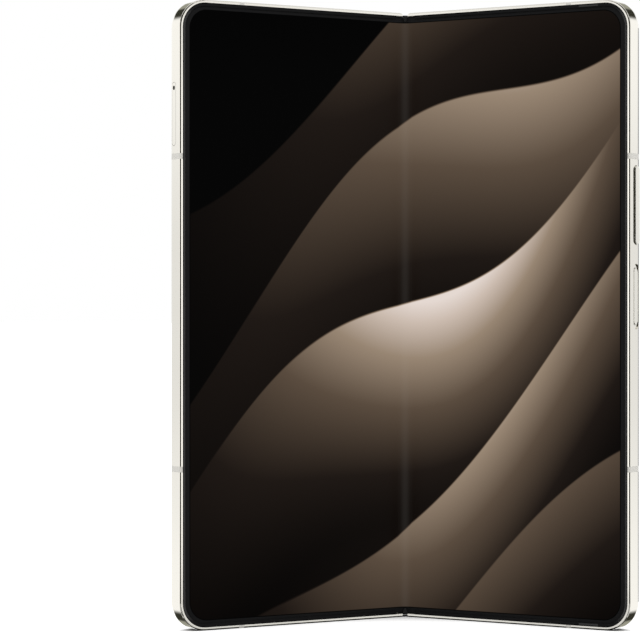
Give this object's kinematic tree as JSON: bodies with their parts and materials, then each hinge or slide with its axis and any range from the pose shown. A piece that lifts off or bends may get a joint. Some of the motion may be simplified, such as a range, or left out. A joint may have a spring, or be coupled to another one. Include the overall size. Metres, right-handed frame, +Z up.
{
  "type": "foldable smartphone",
  "caption": "Book-style foldable smartphone standing open in a shallow V, with a geared hinge, polished frames, raised camera housing and keys that press.",
  "frame": {"origin": "middle of the footprint's box, on the surface that the phone stands on", "axes": "+Z up along the fold; the open screen faces -Y; +X towards the camera half, at the right of the screen"},
  "size_m": [0.1149, 0.039, 0.1549],
  "materials": {
    "frame": "polished",
    "camera_ivory": "satin",
    "band_plastic": "satin",
    "bezel_rubber": "matte",
    "screen": "gloss",
    "back_glass": "gloss",
    "cover_glass": "gloss",
    "lens_glass": "gloss",
    "lens_element": "gloss",
    "hinge_cap": "satin",
    "steel": "brushed",
    "gear_brass": "satin",
    "flex": "satin",
    "board": "satin",
    "cell": "satin",
    "black_module": "satin",
    "coil_copper": "satin",
    "led": "satin"
  },
  "bodies": {
    "hinge": {"spine_cover": "frame", "spine_end_caps": "hinge_cap", "upper_hinge_base": "steel", "lower_hinge_base": "steel", "friction_clips": "steel", "spine_screws": "steel", "crease_caps": "hinge_cap", "main_display_fold": "screen", "hinge_flex_cables": "flex"},
    "cover_half": {"cover_frame": "frame", "cover_antenna_bands": "band_plastic", "cover_bezel": "bezel_rubber", "main_display_left": "screen", "cover_screen_plate": "steel", "cover_glass": "cover_glass", "cover_display_panel": "black_module", "selfie_camera": "black_module", "cover_battery": "cell", "cover_board": "board", "card_reader": "steel", "top_speaker": "black_module", "cover_wings": "steel", "cover_wing_screws": "steel", "cover_magnets": "steel"},
    "camera_half": {"camera_frame": "frame", "camera_antenna_bands": "band_plastic", "camera_bezel": "bezel_rubber", "main_display_right": "screen", "camera_screen_plate": "steel", "back_glass": "back_glass", "camera_housing": "camera_ivory", "lens_rings": "frame", "lens_glasses": "lens_glass", "camera_modules": "black_module", "camera_elements": "lens_element", "flash_window": "lens_glass", "flash_led": "led", "charging_coil": "coil_copper", "camera_battery": "cell", "main_board": "board", "shield_can": "steel", "usb_port": "steel", "bottom_speaker": "black_module", "vibration_motor": "steel", "key_switches": "gear_brass", "camera_wings": "steel", "camera_wing_screws": "steel", "camera_magnets": "steel", "bezel_pads": "bezel_rubber"},
    "card_tray": {"card_tray": "frame"},
    "volume_key": {"volume_key": "frame"},
    "power_key": {"power_key": "frame"},
    "left_pinions": {"left_pinions": "gear_brass"},
    "right_pinions": {"right_pinions": "gear_brass"},
    "left_idlers": {"left_idlers": "steel"},
    "right_idlers": {"right_idlers": "steel"}
  },
  "joints": [
    {"name": "left_fold", "type": "hinge", "parent": "hinge", "child": "cover_half", "pos_m": [-0.00185, 0.01451, 0.07745], "axis": [0, 0, 1], "range_deg": [-31.1, 58.9], "deforming": ["main_display_fold", "hinge_flex_cables"]},
    {"name": "right_fold", "type": "hinge", "parent": "hinge", "child": "camera_half", "pos_m": [0.00185, 0.01451, 0.07745], "axis": [0, 0, 1], "range_deg": [-58.91, 31.11]},
    {"name": "left_pinion_spin", "type": "hinge", "parent": "hinge", "child": "left_pinions", "pos_m": [-0.00298, 0.01564, 0.07745], "axis": [0, 0, 1], "range_deg": [-93.31, 176.71]},
    {"name": "right_pinion_spin", "type": "hinge", "parent": "hinge", "child": "right_pinions", "pos_m": [0.00298, 0.01564, 0.07745], "axis": [0, 0, 1], "range_deg": [-176.71, 93.31]},
    {"name": "left_idler_spin", "type": "hinge", "parent": "hinge", "child": "left_idlers", "pos_m": [-0.0011, 0.0159, 0.07745], "axis": [0, 0, 1], "range_deg": [-128.52, 67.86]},
    {"name": "right_idler_spin", "type": "hinge", "parent": "hinge", "child": "right_idlers", "pos_m": [0.0011, 0.0159, 0.07745], "axis": [0, 0, 1], "range_deg": [-67.86, 128.52]},
    {"name": "volume_key_press", "type": "slide", "parent": "camera_half", "child": "volume_key", "axis": [-0.8563, 0.5165, 0], "range_m": [0, 0.00025], "stiffness_N_per_m": 400, "springref_m": -0.0015},
    {"name": "power_key_press", "type": "slide", "parent": "camera_half", "child": "power_key", "axis": [-0.8563, 0.5165, 0], "range_m": [0, 0.00025], "stiffness_N_per_m": 400, "springref_m": -0.0015},
    {"name": "card_tray_slide", "type": "slide", "parent": "cover_half", "child": "card_tray", "axis": [-0.8563, -0.5165, 0], "range_m": [0, 0.022]}
  ],
  "couplings": [
    {"joint": "right_fold", "follows": "left_fold", "ratio": -1},
    {"joint": "left_pinion_spin", "follows": "left_fold", "ratio": 3},
    {"joint": "right_pinion_spin", "follows": "left_fold", "ratio": -3},
    {"joint": "left_idler_spin", "follows": "left_fold", "ratio": -2.1818},
    {"joint": "right_idler_spin", "follows": "left_fold", "ratio": 2.1818}
  ]
}
